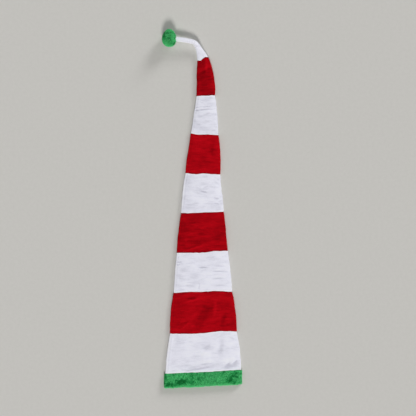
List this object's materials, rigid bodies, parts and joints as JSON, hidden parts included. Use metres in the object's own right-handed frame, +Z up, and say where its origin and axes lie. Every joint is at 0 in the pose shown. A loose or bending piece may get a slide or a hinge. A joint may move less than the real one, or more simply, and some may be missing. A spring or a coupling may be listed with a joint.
{
  "type": "santa hat",
  "caption": "Long tapering santa hat of red and white striped plush with a green fur brim and a green pompom on its bent tip, lying flat, open inside for the head.",
  "frame": {"origin": "on the floor under the middle of the hat's box, as it lies flat", "axes": "+Y along the hat from its open edge to its tip, +Z up from the floor, +X to the right with the open edge nearest"},
  "size_m": [0.2966, 1.319, 0.0616],
  "materials": {
    "white_plush": "short soft pile",
    "red_plush": "short soft pile",
    "green_plush": "deep fluffy pile"
  },
  "bodies": {
    "root": {"brim": "green_plush", "stripe_1_white": "white_plush", "stripe_2_red": "red_plush", "stripe_3_white": "white_plush", "stripe_4_red": "red_plush", "stripe_5_white": "white_plush", "stripe_6_red": "red_plush", "stripe_7_white": "white_plush", "stripe_8_red": "red_plush", "tip_white": "white_plush", "pompom": "green_plush"}
  },
  "joints": []
}
